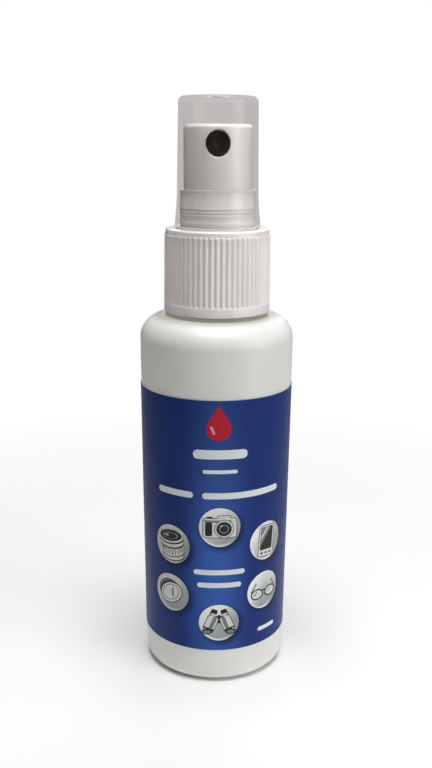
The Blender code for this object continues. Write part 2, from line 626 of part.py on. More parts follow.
def make_overcap(material, parent):
    corner_height = OVERCAP_TOP - OVERCAP_CORNER
    step_height = TURRET_TOP + OVERCAP_STEP_GAP
    inner_top = OVERCAP_TOP - OVERCAP_ROOF
    inner_corner = 0.6 * MM
    outline = [(0.0, OVERCAP_TOP)]
    outline += arc(OVERCAP_TOP_RADIUS - OVERCAP_CORNER, corner_height, OVERCAP_CORNER, 90, 0, CORNER_STEPS)
    rim_height = OVERCAP_BOTTOM + 0.5 * MM
    flare = OVERCAP_RIM_RADIUS - OVERCAP_WAIST_RADIUS
    for step in range(CORNER_STEPS + 1):
        share = step / CORNER_STEPS
        radius = OVERCAP_WAIST_RADIUS + flare * share ** FLARE_POWER
        outline.append((radius, OVERCAP_WAIST_HEIGHT + (rim_height - OVERCAP_WAIST_HEIGHT) * share))
    outline += [(OVERCAP_RIM_RADIUS, OVERCAP_BOTTOM), (OVERCAP_SOCKET_RADIUS, OVERCAP_BOTTOM)]
    outline += [(OVERCAP_SOCKET_RADIUS, step_height), (OVERCAP_WAIST_RADIUS - OVERCAP_WALL, step_height)]
    inner_radius = OVERCAP_TOP_RADIUS - OVERCAP_WALL
    outline += arc(inner_radius - inner_corner, inner_top - inner_corner, inner_corner, 0, 90, INNER_STEPS)
    outline += [(0.0, inner_top)]
    add_piece("overcap", turned(outline, BODY_SEGMENTS), material, OVERCAP_BOTTOM, parent)


def build():
    clear_scene()
    white = plastic("bottle_white", (0.78, 0.78, 0.75), 0.42)
    label_blue = plastic("label_blue", (0.03, 0.09, 0.33), 0.35)
    closure_white = plastic("closure_white", (0.85, 0.85, 0.84), 0.32)
    pump_white = plastic("pump_natural", (0.80, 0.80, 0.78), 0.40)
    seal = plastic("gasket_grey", (0.45, 0.45, 0.45), 0.70)
    steel = plastic("spring_steel", (0.62, 0.62, 0.62), 0.28, metallic=1.0)
    ball_glass = plastic("ball_glass", (0.55, 0.62, 0.60), 0.08)
    tube_clear = plastic("tube_clear", (0.80, 0.80, 0.80), 0.25, alpha=0.6)
    black = plastic("nozzle_black", (0.015, 0.015, 0.015), 0.35)
    frosted = plastic("overcap_frosted", (0.62, 0.61, 0.60), 0.35, alpha=0.5)
    liquid = plastic("liquid_clear", (0.75, 0.82, 0.88), 0.05, alpha=0.4)

    pump = joint_axis("pump_axis", NECK_TOP)
    closure = joint_axis("closure_axis", CLOSURE_BOTTOM, pump)
    overcap = joint_axis("overcap_axis", OVERCAP_BOTTOM, closure)
    plunger = joint_axis("plunger_axis", ROD_BOSS_BOTTOM, pump)
    head = joint_axis("spray_head_axis", HEAD_BOTTOM, plunger)

    make_bottle(white)
    make_label(label_blue)
    make_liquid(liquid)
    gasket_top = make_gasket(seal, pump)
    housing_top = make_housing(pump_white, gasket_top + STACK_GAP, pump)
    make_lock_ring(pump_white, housing_top + STACK_GAP, pump)
    make_dip_tube(tube_clear, pump)
    make_check_ball(ball_glass, pump)
    make_closure(closure_white, closure)
    make_overcap(frosted, overcap)
    collar_bottom = make_upper_stem(pump_white, plunger)
    make_lower_stem(pump_white, plunger)
    make_piston(pump_white, plunger)
    make_actuator(closure_white, head)
    make_nozzle(black, head)

    bottom = BALL_RIB_TOP + STACK_GAP
    top = ROD_FLANGE_BOTTOM - STACK_GAP
    main_spring = coil_spring(MAIN_SPRING_RADIUS, MAIN_SPRING_WIRE, bottom, top, MAIN_SPRING_TURNS)
    add_piece("main_spring", main_spring, steel, BALL_RIB_TOP, pump)

    bottom = PISTON_TOP + STACK_GAP
    top = collar_bottom - STEM_COLLAR_TAPER - STACK_GAP
    lag_spring = coil_spring(LAG_SPRING_RADIUS, LAG_SPRING_WIRE, bottom, top, LAG_SPRING_TURNS)
    add_piece("precompression_spring", lag_spring, steel, PISTON_TOP, plunger)


build()
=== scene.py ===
"""Looks of the lens cleaning spray: fine surfaces, a printed label, materials and a small white studio.

Lengths are in metres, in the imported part's own frame: +Z is up and the nozzle faces -Y. Sizes come from
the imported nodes' boxes wherever a piece stands for a node. Offsets inside a piece are written in MM.
"""

import math

import bmesh
import bpy
from mathutils import Matrix, Vector


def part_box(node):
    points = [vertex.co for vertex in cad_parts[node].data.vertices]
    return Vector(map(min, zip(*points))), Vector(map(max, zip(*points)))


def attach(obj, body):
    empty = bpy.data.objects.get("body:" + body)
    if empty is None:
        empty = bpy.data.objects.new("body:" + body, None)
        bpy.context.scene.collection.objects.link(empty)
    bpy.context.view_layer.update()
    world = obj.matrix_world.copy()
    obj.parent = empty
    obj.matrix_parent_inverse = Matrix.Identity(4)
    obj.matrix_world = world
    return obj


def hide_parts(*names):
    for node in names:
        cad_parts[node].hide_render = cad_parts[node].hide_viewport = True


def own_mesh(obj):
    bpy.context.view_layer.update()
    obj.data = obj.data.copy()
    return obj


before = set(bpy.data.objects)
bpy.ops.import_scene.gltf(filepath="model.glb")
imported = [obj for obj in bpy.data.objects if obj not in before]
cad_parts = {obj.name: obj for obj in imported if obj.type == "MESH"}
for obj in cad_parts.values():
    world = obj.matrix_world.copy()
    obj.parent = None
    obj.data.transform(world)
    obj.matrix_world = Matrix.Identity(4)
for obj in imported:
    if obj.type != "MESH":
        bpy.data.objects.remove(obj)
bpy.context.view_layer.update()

MM = 0.001
SEGMENTS = 256
ARC_STEP = 0.12 * MM
LEAST_ARC_STEPS, MOST_ARC_STEPS = 3, 24
TINY = 0.001 * MM  # places closer than this count as one
SHARP_ANGLE = math.radians(35)
THREAD_PITCH = 3.175 * MM
THREAD_TURNS = 1.5
THREAD_RUN_OUT_TURNS = 0.12
THREAD_HALF_WIDTH = 0.75 * MM
THREAD_FLANK = 0.45 * MM
THREAD_DEPTH = 0.95 * MM

# The print is centred a little to the right of the nozzle.
PRINT_AZIMUTH = math.radians(-86.5)
INK_THICKNESS = 0.015 * MM
INK_SINK = 0.01 * MM

# Places on the print are in millimetres: across from its middle, and up from the label's bottom edge.
PRINT_STEP = 0.6
BADGE_RADIUS = 4.5
BADGES = {
    "camera": (0.0, 30.1),
    "lens": (-11.1, 24.9),
    "phone": (11.4, 25.3),
    "filter": (-11.4, 13.0),
    "glasses": (11.0, 13.3),
    "binoculars": (0.0, 7.0),
}


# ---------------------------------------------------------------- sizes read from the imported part

def radius_of(node):
    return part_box(node)[1].x


def bottom_of(node):
    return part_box(node)[0].z


def top_of(node):
    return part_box(node)[1].z


# ---------------------------------------------------------------- mesh building

def new_object(name, data):
    """An object in the scene that shows a mesh, a light or a camera."""
    thing = bpy.data.objects.new(name, data)
    bpy.context.scene.collection.objects.link(thing)
    return thing


def shade(mesh):
    mesh.shade_smooth()
    mesh.set_sharp_from_angle(angle=SHARP_ANGLE)


def add_piece(name, verts, faces, *materials):
    """A smooth-shaded mesh object with its faces pointing out."""
    mesh = bpy.data.meshes.new(name)
    mesh.from_pydata(verts, [], faces)
    bm = bmesh.new()
    bm.from_mesh(mesh)
    bmesh.ops.recalc_face_normals(bm, faces=bm.faces)
    bm.to_mesh(mesh)
    bm.free()
    shade(mesh)
    for material in materials:
        mesh.materials.append(material)
    return new_object(name, mesh)


def stand_for(piece, body, slot, *nodes):
    """Put a piece on a body in place of CAD nodes, and hide the nodes. The slot argument is not used."""
    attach(piece, body)
    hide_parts(*nodes)


def rounded(corners):
    """A closed outline from corners of (radius, height, fillet), each rounded by its fillet."""
    points = []
    for i, (across, height, fillet) in enumerate(corners):
        here = Vector((across, height))
        if fillet <= 0.0:
            points.append((across, height))
            continue
        before = (Vector(corners[i - 1][:2]) - here).normalized()
        after = (Vector(corners[(i + 1) % len(corners)][:2]) - here).normalized()
        half = 0.5 * before.angle(after)
        centre = here + (before + after).normalized() * fillet / math.sin(half)
        start = here + before * fillet / math.tan(half) - centre
        end = here + after * fillet / math.tan(half) - centre
        first = math.atan2(start.y, start.x)
        sweep = (math.atan2(end.y, end.x) - first + math.pi) % math.tau - math.pi
        steps = min(MOST_ARC_STEPS, LEAST_ARC_STEPS + int(abs(sweep) * fillet / ARC_STEP))
        for step in range(steps + 1):
            angle = first + sweep * step / steps
            points.append((centre.x + fillet * math.cos(angle), centre.y + fillet * math.sin(angle)))
    return points


def even_angles(count):
    return [math.tau * i / count for i in range(count)]


def revolve(outline, angles, shape=None):
    """Vertices and faces of a closed outline turned round Z.

    shape(radius, angle, height), where given, returns the radius to use there.
    """
    verts, rings, faces = [], [], []
    for radius, height in outline:
        if radius < TINY:
            rings.append([len(verts)])
            verts.append((0.0, 0.0, height))
            continue
        rings.append(list(range(len(verts), len(verts) + len(angles))))
        for angle in angles:
            reach = shape(radius, angle, height) if shape else radius
            verts.append((reach * math.cos(angle), reach * math.sin(angle), height))
    for lower, upper in zip(rings, rings[1:] + rings[:1]):
        count = max(len(lower), len(upper))
        if count == 1:
            continue
        for i in range(count):
            j = (i + 1) % count
            below = [lower[i % len(lower)], lower[j % len(lower)]]
            above = [upper[j % len(upper)], upper[i % len(upper)]]
            faces.append(list(dict.fromkeys(below + above)))
    return verts, faces


def thread_rise(angle, height, start):
    """How far a right-hand thread stands out of its wall at an angle and a height."""
    turns = (height - start) / THREAD_PITCH - angle / math.tau
    across = abs(turns - round(turns)) * THREAD_PITCH
    along = angle / math.tau + round(turns)
    flank = min(1.0, max(0.0, (THREAD_HALF_WIDTH - across) / THREAD_FLANK))
    ends = min(1.0, max(0.0, min(along, THREAD_TURNS - along) / THREAD_RUN_OUT_TURNS))
    return THREAD_DEPTH * flank * math.sin(0.5 * math.pi * ends)


def ease(share):
    """A quarter-circle rise from 0 to 1, for rounded ends."""
    share = min(1.0, max(0.0, share))
    return math.sqrt(1.0 - (1.0 - share) ** 2)


def spread(start, end, count):
    return [start + (end - start) * i / (count - 1) for i in range(count)]


# ---------------------------------------------------------------- materials

class Surface:
    """A node material: methods add nodes and return their output sockets."""

    def __init__(self, name):
        self.material = bpy.data.materials.new(name)
        self.material.use_nodes = True
        self.tree = self.material.node_tree
        self.shader = self.tree.nodes["Principled BSDF"]
        self.place = self.tree.nodes.new("ShaderNodeTexCoord").outputs["Object"]

    def node(self, kind, *sources):
        """A new node, with its first inputs fed by the sources."""
        node = self.tree.nodes.new("ShaderNode" + kind)
        for source, socket in zip(sources, node.inputs):
            self.link(source, socket)
        return node

    def link(self, source, target):
        if isinstance(source, (int, float)):
            target.default_value = source
        elif isinstance(source, tuple):
            target.default_value = (*source, 1.0)
        else:
            self.tree.links.new(source, target)

    def set(self, **values):
        """Principled inputs by name, with _ for a space."""
        for name, value in values.items():
            self.link(value, self.shader.inputs[name.replace("_", " ")])

    def soften(self, weight, reach):
        """Let light spread inside the plastic, a little further in red than in blue."""
        self.set(Subsurface_Weight=weight, Subsurface_Scale=reach)
        self.shader.inputs["Subsurface Radius"].default_value = (1.0, 0.92, 0.8)

    def math(self, operation, first, second=0.0, clamp=False):
        node = self.node("Math", first, second)
        node.operation = operation
        node.use_clamp = clamp
        return node.outputs[0]

    def times(self, first, second):
        return self.math("MULTIPLY", first, second)

    def between(self, value, low, high, to_low=0.0, to_high=1.0):
        """A smooth step of value from low to high."""
        node = self.node("MapRange", value, low, high, to_low, to_high)
        node.interpolation_type = "SMOOTHSTEP"
        return node.outputs[0]

    def stretched(self, x, y, z):
        node = self.node("Mapping", self.place)
        node.inputs["Scale"].default_value = (x, y, z)
        return node.outputs[0]

    def noise(self, size, detail=2.0, stretch=None):
        """Noise whose features are about size metres across."""
        node = self.node("TexNoise", stretch or self.place)
        node.inputs["Scale"].default_value = 1.0 / size
        node.inputs["Detail"].default_value = detail
        return node.outputs[0]

    def length(self, vector):
        node = self.node("VectorMath", vector)
        node.operation = "LENGTH"
        return node.outputs["Value"]

    def split(self, vector):
        """The X, Y and Z of a vector, by name."""
        return self.node("SeparateXYZ", vector).outputs

    def blend(self, share, first, second):
        """A mix of two colours. A Mix node's colour sockets are inputs 6 and 7, and output 2."""
        node = self.node("Mix")
        node.data_type = "RGBA"
        for source, number in ((share, 0), (first, 6), (second, 7)):
            self.link(source, node.inputs[number])
        return node.outputs[2]

    def mixed(self, share, first, second):
        """The output of a Mix Shader of two shaders."""
        return self.node("MixShader", share, first, second).outputs[0]

    def show(self, shader):
        """Give a shader's output to the material."""
        self.link(shader, self.tree.nodes["Material Output"].inputs["Surface"])

    def bump(self, height, depth, under=None):
        node = self.node("Bump")
        node.inputs["Strength"].default_value = 1.0
        node.inputs["Distance"].default_value = depth
        self.link(height, node.inputs["Height"])
        if under:
            self.link(under, node.inputs["Normal"])
        return node.outputs[0]


def moulded(name, light, dark, roughness, grain=0.5 * MM, grain_depth=0.004 * MM):
    """Moulded plastic: cloudy colour, uneven gloss, a fine grain and slow sink-mark waves."""
    surface = Surface(name)
    clouds = surface.noise(9 * MM, 3.0)
    streaks = surface.noise(3 * MM, 2.0, surface.stretched(1.0, 1.0, 0.12))
    surface.set(Base_Color=surface.blend(surface.between(clouds, 0.35, 0.65), light, dark))
    surface.set(Roughness=surface.between(streaks, 0.3, 0.7, roughness - 0.05, roughness + 0.05))
    waves = surface.bump(surface.noise(7 * MM, 1.0), 0.01 * MM)
    surface.set(Normal=surface.bump(surface.noise(grain, 2.0), grain_depth, waves))
    return surface


def bottle_material(shoulder_top):
    """White plastic, with painted shade on the shoulder round the neck: a darker, warmer ring where the
    closure shades it.

    A weak painted glow on that ring stands for the light that the plastic carries in under the closure.
    """
    surface = moulded("white_polyethylene", (0.80, 0.80, 0.775), (0.775, 0.77, 0.74), 0.36)
    surface.soften(0.6, 1.6 * MM)
    height = surface.split(surface.place)["Z"]
    shoulder = surface.between(height, shoulder_top - 1.6 * MM, shoulder_top - 0.6 * MM)
    from_axis = surface.length(surface.stretched(1.0, 1.0, 0.0))
    white = surface.shader.inputs["Base Color"].links[0].from_socket
    # Painted shadow: the shoulder next to the closure's foot is darkened to a warm grey, fading out from
    # the neck.
    ring = surface.between(from_axis, 11.4 * MM, 14.4 * MM, 0.9, 0.0)
    painted_shade = surface.times(ring, shoulder)
    surface.set(Base_Color=surface.blend(painted_shade, white, (0.42, 0.41, 0.34)))
    # Painted glow: a weak warm emission on the ring next to the closure's foot, where the gap would look
    # dark.
    glow = surface.between(from_axis, 11.2 * MM, 12.6 * MM, 0.12, 0.0)
    painted_glow = surface.times(glow, shoulder)
    surface.set(Emission_Color=(1.0, 0.97, 0.86), Emission_Strength=painted_glow)
    return surface.material


def closure_material():
    surface = moulded("white_polypropylene", (0.86, 0.83, 0.82), (0.83, 0.80, 0.79), 0.26,
                      grain=0.35 * MM, grain_depth=0.002 * MM)
    surface.soften(0.4, 0.8 * MM)
    return surface.material


def head_material():
    surface = moulded("spray_head_white", (0.90, 0.87, 0.855), (0.87, 0.84, 0.825), 0.30,
                      grain=0.4 * MM, grain_depth=0.002 * MM)
    surface.soften(0.5, 1.2 * MM)
    return surface.material


def frosted_material():
    """See-through plastic: its far wall greys what lies behind it, and its ledges look milky."""
    surface = moulded("frosted_polypropylene", (0.78, 0.76, 0.75), (0.74, 0.72, 0.71), 0.30,
                      grain=0.25 * MM, grain_depth=0.001 * MM)
    surface.set(Specular_IOR_Level=0.1)
    path = surface.node("LightPath").outputs
    geometry = surface.node("NewGeometry").outputs
    own_normal = surface.node("VectorTransform", geometry["Normal"])
    own_normal.vector_type = "NORMAL"
    own_normal.convert_from = "WORLD"
    own_normal.convert_to = "OBJECT"
    normal = surface.split(own_normal.outputs[0])
    place = surface.split(surface.place)
    level = surface.between(surface.math("ABSOLUTE", normal["Z"]), 0.5, 0.95)

    # The outside is what faces away from the axis, and the roof. A normal seen from behind is turned
    # to face the viewer, and backfacing turns it back.
    along_x = surface.times(normal["X"], place["X"])
    along_y = surface.times(normal["Y"], place["Y"])
    side = surface.math("SUBTRACT", 0.5, geometry["Backfacing"])
    outward = surface.times(surface.math("ADD", along_x, along_y), side)
    roof = surface.math("GREATER_THAN", place["Z"], top_of("overcap") - 0.6 * MM)
    outside = surface.math("MAXIMUM", surface.math("GREATER_THAN", outward, 0.0), roof)

    haze = surface.between(surface.noise(2.5 * MM, 2.0), 0.3, 0.7, 0.002, 0.009)
    foot = bottom_of("overcap")
    ledge = surface.between(place["Z"], foot + 7.4 * MM, foot + 8.0 * MM, 0.8, 0.06)
    milk = surface.math("ADD", haze, surface.times(level, ledge), clamp=True)

    # Only the camera's rays see the grey. Light passes almost freely.
    far_wall = surface.math("GREATER_THAN", path["Transparent Depth"], 0.5)
    wall = surface.blend(far_wall, (0.975, 0.960, 0.955), (0.562, 0.541, 0.538))
    tint = surface.blend(outside, (0.985, 0.983, 0.982), wall)
    tint = surface.blend(path["Is Camera Ray"], (0.985, 0.98, 0.975), tint)
    clear = surface.node("BsdfTransparent", tint)
    milky = surface.mixed(milk, clear.outputs[0], surface.shader.outputs[0])

    # A sheen on the outside, stronger where it is seen edge-on and weaker on level faces.
    gloss = surface.node("BsdfGlossy")
    gloss.inputs["Roughness"].default_value = 0.26
    edge_on = surface.node("LayerWeight", 0.5).outputs["Facing"]
    sheen = surface.blend(level, (0.05, 0.05, 0.05), (0.02, 0.02, 0.02))
    sheen = surface.times(surface.between(edge_on, 0.0, 0.4, 0.4, 1.0), sheen)
    sheen = surface.times(sheen, outside)
    surface.show(surface.mixed(sheen, milky, gloss.outputs[0]))
    return surface.material


def nozzle_material():
    surface = moulded("black_acetal", (0.006, 0.006, 0.005), (0.010, 0.009, 0.008), 0.42,
                      grain=0.2 * MM)
    surface.set(Specular_IOR_Level=0.15)
    return surface.material


def pump_material():
    surface = moulded("natural_polypropylene", (0.78, 0.78, 0.75), (0.72, 0.72, 0.69), 0.34,
                      grain=0.3 * MM)
    surface.soften(0.2, 0.6 * MM)
    return surface.material


def gasket_material():
    surface = moulded("grey_rubber", (0.20, 0.20, 0.20), (0.14, 0.14, 0.14), 0.72,
                      grain=0.12 * MM, grain_depth=0.01 * MM)
    return surface.material


def tube_material():
    """Extruded tube: milky, with fine lines drawn along it."""
    surface = moulded("clear_polyethylene", (0.78, 0.79, 0.80), (0.72, 0.73, 0.74), 0.22)
    lines = surface.noise(0.25 * MM, 1.0, surface.stretched(1.0, 1.0, 0.02))
    surface.set(Normal=surface.bump(lines, 0.01 * MM))
    surface.set(Alpha=surface.between(lines, 0.3, 0.7, 0.5, 0.65))
    return surface.material


def ball_material():
    surface = moulded("ball_glass", (0.50, 0.58, 0.55), (0.44, 0.52, 0.50), 0.08,
                      grain=0.8 * MM, grain_depth=0.001 * MM)
    surface.set(Transmission_Weight=0.6, IOR=1.5)
    return surface.material


def liquid_material():
    surface = moulded("clear_liquid", (0.75, 0.84, 0.90), (0.70, 0.80, 0.87), 0.06,
                      grain=2 * MM, grain_depth=0.002 * MM)
    surface.set(Alpha=surface.between(surface.noise(6 * MM), 0.3, 0.7, 0.35, 0.45))
    return surface.material


def steel_material():
    """Drawn wire: metal with fine scratches and uneven gloss."""
    surface = Surface("spring_steel")
    scratches = surface.noise(0.08 * MM, 3.0, surface.stretched(1.0, 1.0, 4.0))
    worn = surface.between(scratches, 0.3, 0.7)
    surface.set(Base_Color=surface.blend(worn, (0.60, 0.60, 0.61), (0.48, 0.48, 0.50)))
    surface.set(Roughness=surface.between(scratches, 0.3, 0.7, 0.2, 0.36), Metallic=1.0)
    surface.set(Normal=surface.bump(scratches, 0.003 * MM))
    return surface.material


def label_material(label_radius, label_bottom):
    """Blue printed film: lighter in the middle, with a soft shadow beside each round badge."""
    surface = Surface("label_film")
    turn = surface.node("VectorRotate", surface.place)
    turn.rotation_type = "Z_AXIS"
    turn.inputs["Angle"].default_value = -PRINT_AZIMUTH
    place = surface.split(turn.outputs[0])
    angle = surface.math("ARCTAN2", place["Y"], place["X"])
    across = surface.times(angle, label_radius)
    up = surface.math("SUBTRACT", place["Z"], label_bottom)

    def distance(centre_across, centre_up, stretch=1.0):
        """How far a point of the label is from a centre, with heights scaled by stretch."""
        x = surface.math("SUBTRACT", across, centre_across)
        y = surface.times(surface.math("SUBTRACT", up, centre_up), stretch)
        return surface.length(surface.node("CombineXYZ", x, y).outputs[0])

    glow = surface.between(distance(-0.8 * MM, 22 * MM, 0.16), 0.0, 9.5 * MM, 1.0, 0.0)
    height = surface.between(up, 15 * MM, 50 * MM)
    middle_blue = surface.blend(height, (0.042, 0.115, 0.43), (0.042, 0.098, 0.31))
    blue = surface.blend(glow, (0.009, 0.029, 0.165), middle_blue)
    shadow = 0.0
    for centre_across, centre_up in BADGES.values():
        gap = distance((centre_across + 0.7) * MM, (centre_up - 0.8) * MM)
        near = surface.between(gap, (BADGE_RADIUS - 0.8) * MM, (BADGE_RADIUS + 1.3) * MM, 1.0, 0.0)
        shadow = surface.math("MAXIMUM", shadow, near)
    blue = surface.blend(surface.times(shadow, 0.75), blue, (0.004, 0.008, 0.04))
    dots = surface.noise(0.18 * MM, 1.0)
    blue = surface.blend(surface.between(dots, 0.4, 0.9, 0.0, 0.07), blue, (0.06, 0.13, 0.42))
    surface.set(Base_Color=blue)
    surface.set(Roughness=surface.between(surface.noise(1.5 * MM, 3.0), 0.3, 0.7, 0.36, 0.46))
    ripples = surface.bump(surface.noise(6 * MM, 1.0), 0.012 * MM)
    surface.set(Normal=surface.bump(dots, 0.001 * MM, ripples), Specular_IOR_Level=0.11)
    return surface.material


def ink_material(name, light, dark):
    """Printed ink: small dots of two shades."""
    surface = Surface(name)
    dots = surface.noise(0.22 * MM, 2.0)
    surface.set(Base_Color=surface.blend(surface.between(dots, 0.35, 0.65), light, dark))
    surface.set(Roughness=surface.between(dots, 0.3, 0.7, 0.36, 0.44))
    surface.set(Normal=surface.bump(dots, 0.001 * MM), Specular_IOR_Level=0.25)
    return surface.material


def badge_material():
    """Silver print: light at the upper left of each badge and grey at its lower right.

    A bright line follows the badge's lower left edge. Badges on the label's left side, away from the key
    light, are darkened with painted shade.
    """
    surface = Surface("badge_silver")
    own_place = surface.split(surface.node("TexCoord").outputs["Generated"])
    right = surface.math("SUBTRACT", own_place["X"], 0.5)
    up = surface.math("SUBTRACT", own_place["Z"], 0.5)
    slope = surface.math("SUBTRACT", right, up)
    clouds = surface.times(surface.noise(5 * MM, 1.0), 0.8)
    tone = surface.between(surface.math("ADD", slope, clouds), -0.3, 1.0)
    silver = surface.blend(tone, (0.88, 0.90, 0.90), (0.32, 0.335, 0.35))
    right_squared = surface.times(right, right)
    up_squared = surface.times(up, up)
    reach_squared = surface.math("ADD", right_squared, up_squared)
    lower_left = surface.between(surface.math("ADD", right, up), -0.5, 0.1, 1.0, 0.0)
    line = surface.times(surface.between(reach_squared, 0.17, 0.24), lower_left)
    silver = surface.blend(line, silver, (0.85, 0.85, 0.83))
    # Painted shade: badges towards the left, away from the key light, are darkened.
    dim = surface.between(surface.split(surface.place)["X"], -13 * MM, 2 * MM, 0.42, 0.0)
    silver = surface.blend(dim, silver, (0.20, 0.20, 0.185))
    dots = surface.noise(0.2 * MM, 2.0)
    silver = surface.blend(surface.between(dots, 0.4, 0.9, 0.0, 0.15), silver, (0.3, 0.31, 0.33))
    surface.set(Base_Color=silver, Roughness=surface.between(dots, 0.3, 0.7, 0.36, 0.44))
    surface.set(Normal=surface.bump(dots, 0.001 * MM), Specular_IOR_Level=0.25)
    return surface.material


# ---------------------------------------------------------------- bottle and label

def make_bottle():
    """A blow-moulded shell with a threaded neck and a recessed base."""
    radius = radius_of("bottle")
    neck_top = top_of("bottle")
    shoulder_top = neck_top - 13.4 * MM
    neck, bore, wall = 7.85 * MM, 5.7 * MM, 1.0 * MM
    thread_start = neck_top - 7.2 * MM
    shoulder_round, foot_round = 5.0 * MM, 2.8 * MM
    foot, recess, recess_height, floor = 10.5 * MM, 8.5 * MM, 1.0 * MM, 2.2 * MM
    levels = spread(neck_top - 0.8 * MM, neck_top - 8.2 * MM, 38)
    corners = [(neck, neck_top, 0.3 * MM)] + [(neck, level, 0.0) for level in levels]
    corners += [(neck, shoulder_top, 0.5 * MM), (radius, shoulder_top, shoulder_round)]
    corners += [(radius, 0.0, foot_round), (foot, 0.0, 0.5 * MM)]
    corners += [(recess, recess_height, 0.8 * MM), (0.0, recess_height, 0.0)]
    corners += [(0.0, floor, 0.0), (radius - wall, floor, 2.3 * MM)]
    corners += [(radius - wall, shoulder_top - wall, 4.0 * MM), (bore, shoulder_top - wall, 0.5 * MM)]
    corners += [(bore, neck_top, 0.3 * MM)]

    seam_width, seam_height = 0.12 * MM, 0.03 * MM
    near_seam = [math.radians(0.2 * step) for step in range(-6, 7)]
    angles = set(even_angles(SEGMENTS))
    for seam in (0.0, math.pi):
        angles |= {(seam + offset) % math.tau for offset in near_seam}

    def shape(reach, angle, height):
        """The neck's thread, and the mould's parting line down both sides."""
        if height > shoulder_top:
            inside = reach < neck - 0.5 * MM
            return reach if inside else reach + thread_rise(angle, height, thread_start)
        if reach < radius - 0.5 * wall:
            return reach
        off_seam = abs(math.remainder(angle, math.pi)) * radius
        return reach + seam_height * math.exp(-((off_seam / seam_width) ** 2))

    material = bottle_material(shoulder_top)
    piece = add_piece("bottle_shell", *revolve(rounded(corners), sorted(angles), shape), material)
    stand_for(piece, "bottle", "bottle_white", "bottle")


def make_label():
    """A wrapped film with round corners, leaving a narrow gap at the back."""
    low, high = bottom_of("label"), top_of("label")
    outer = radius_of("label")
    inner = outer - 0.1 * MM
    gap, middle_of_gap = math.radians(9), math.radians(94.5)
    corner, corner_steps = 1.5 * MM, 10
    reach = 0.5 * (math.tau - gap)
    turns = [0.5 * math.pi * i / corner_steps for i in range(corner_steps + 1)]
    ends = [reach - corner / outer * (1.0 - math.cos(turn)) for turn in turns]
    columns = [-end for end in ends] + spread(-ends[-1], ends[-1], SEGMENTS)[1:-1] + ends[::-1]
    rows = 24
    verts, faces = [], []
    for column in columns:
        from_end = (reach - abs(column)) * outer
        inset = corner * (1.0 - ease(from_end / corner))
        angle = middle_of_gap + math.pi + column
        for radius in (outer, inner):
            for level in spread(low + inset, high - inset, rows):
                verts.append((radius * math.cos(angle), radius * math.sin(angle), level))
    stride = 2 * rows
    for i in range(len(columns) - 1):
        here, there = i * stride, (i + 1) * stride
        for row in range(rows - 1):
            faces.append((here + row, there + row, there + row + 1, here + row + 1))
            back = rows + row
            faces.append((here + back, here + back + 1, there + back + 1, there + back))
        for edge in (0, rows - 1):
            faces.append((here + edge, here + rows + edge, there + rows + edge, there + edge))
    for side in (0, (len(columns) - 1) * stride):
        for row in range(rows - 1):
            faces.append((side + row, side + row + 1, side + rows + row + 1, side + rows + row))
    piece = add_piece("label_film", verts, faces, label_material(outer, low))
    stand_for(piece, "bottle", "label_film", "label")


# ---------------------------------------------------------------- print on the label
# Outlines are in millimetres, across and up from the middle of what is printed.

def oval(across, up, width, height):
    points = []
    for angle in even_angles(64):
        points.append((across + 0.5 * width * math.cos(angle), up + 0.5 * height * math.sin(angle)))
    return points


def plate(across, up, width, height, corner=0.0, turn=0.0):
    """A rectangle with round corners, turned by an angle in degrees."""
    corner = min(corner, 0.4999 * width, 0.4999 * height)
    x, y = 0.5 * width, 0.5 * height
    points = rounded([(x, y, corner), (-x, y, corner), (-x, -y, corner), (x, -y, corner)])
    angle = math.radians(turn)
    placed = []
    for x, y in divided(points):
        placed.append((across + x * math.cos(angle) - y * math.sin(angle),
                       up + x * math.sin(angle) + y * math.cos(angle)))
    return placed


def divided(points):
    """An outline with extra points on its long sides, so that it can follow the label round."""
    filled = []
    for here, there in zip(points, points[1:] + points[:1]):
        parts = max(1, math.ceil(math.dist(here, there) / PRINT_STEP))
        for part in range(parts):
            share = part / parts
            x = here[0] + (there[0] - here[0]) * share
            y = here[1] + (there[1] - here[1]) * share
            filled.append((x, y))
    return filled


def drop(width, height):
    """A water drop with its point up."""
    points = []
    for angle in even_angles(72):
        x = 0.62 * width * math.sin(angle) * math.sin(0.5 * angle) ** 1.2
        points.append((x, 0.5 * height * math.cos(angle)))
    return points


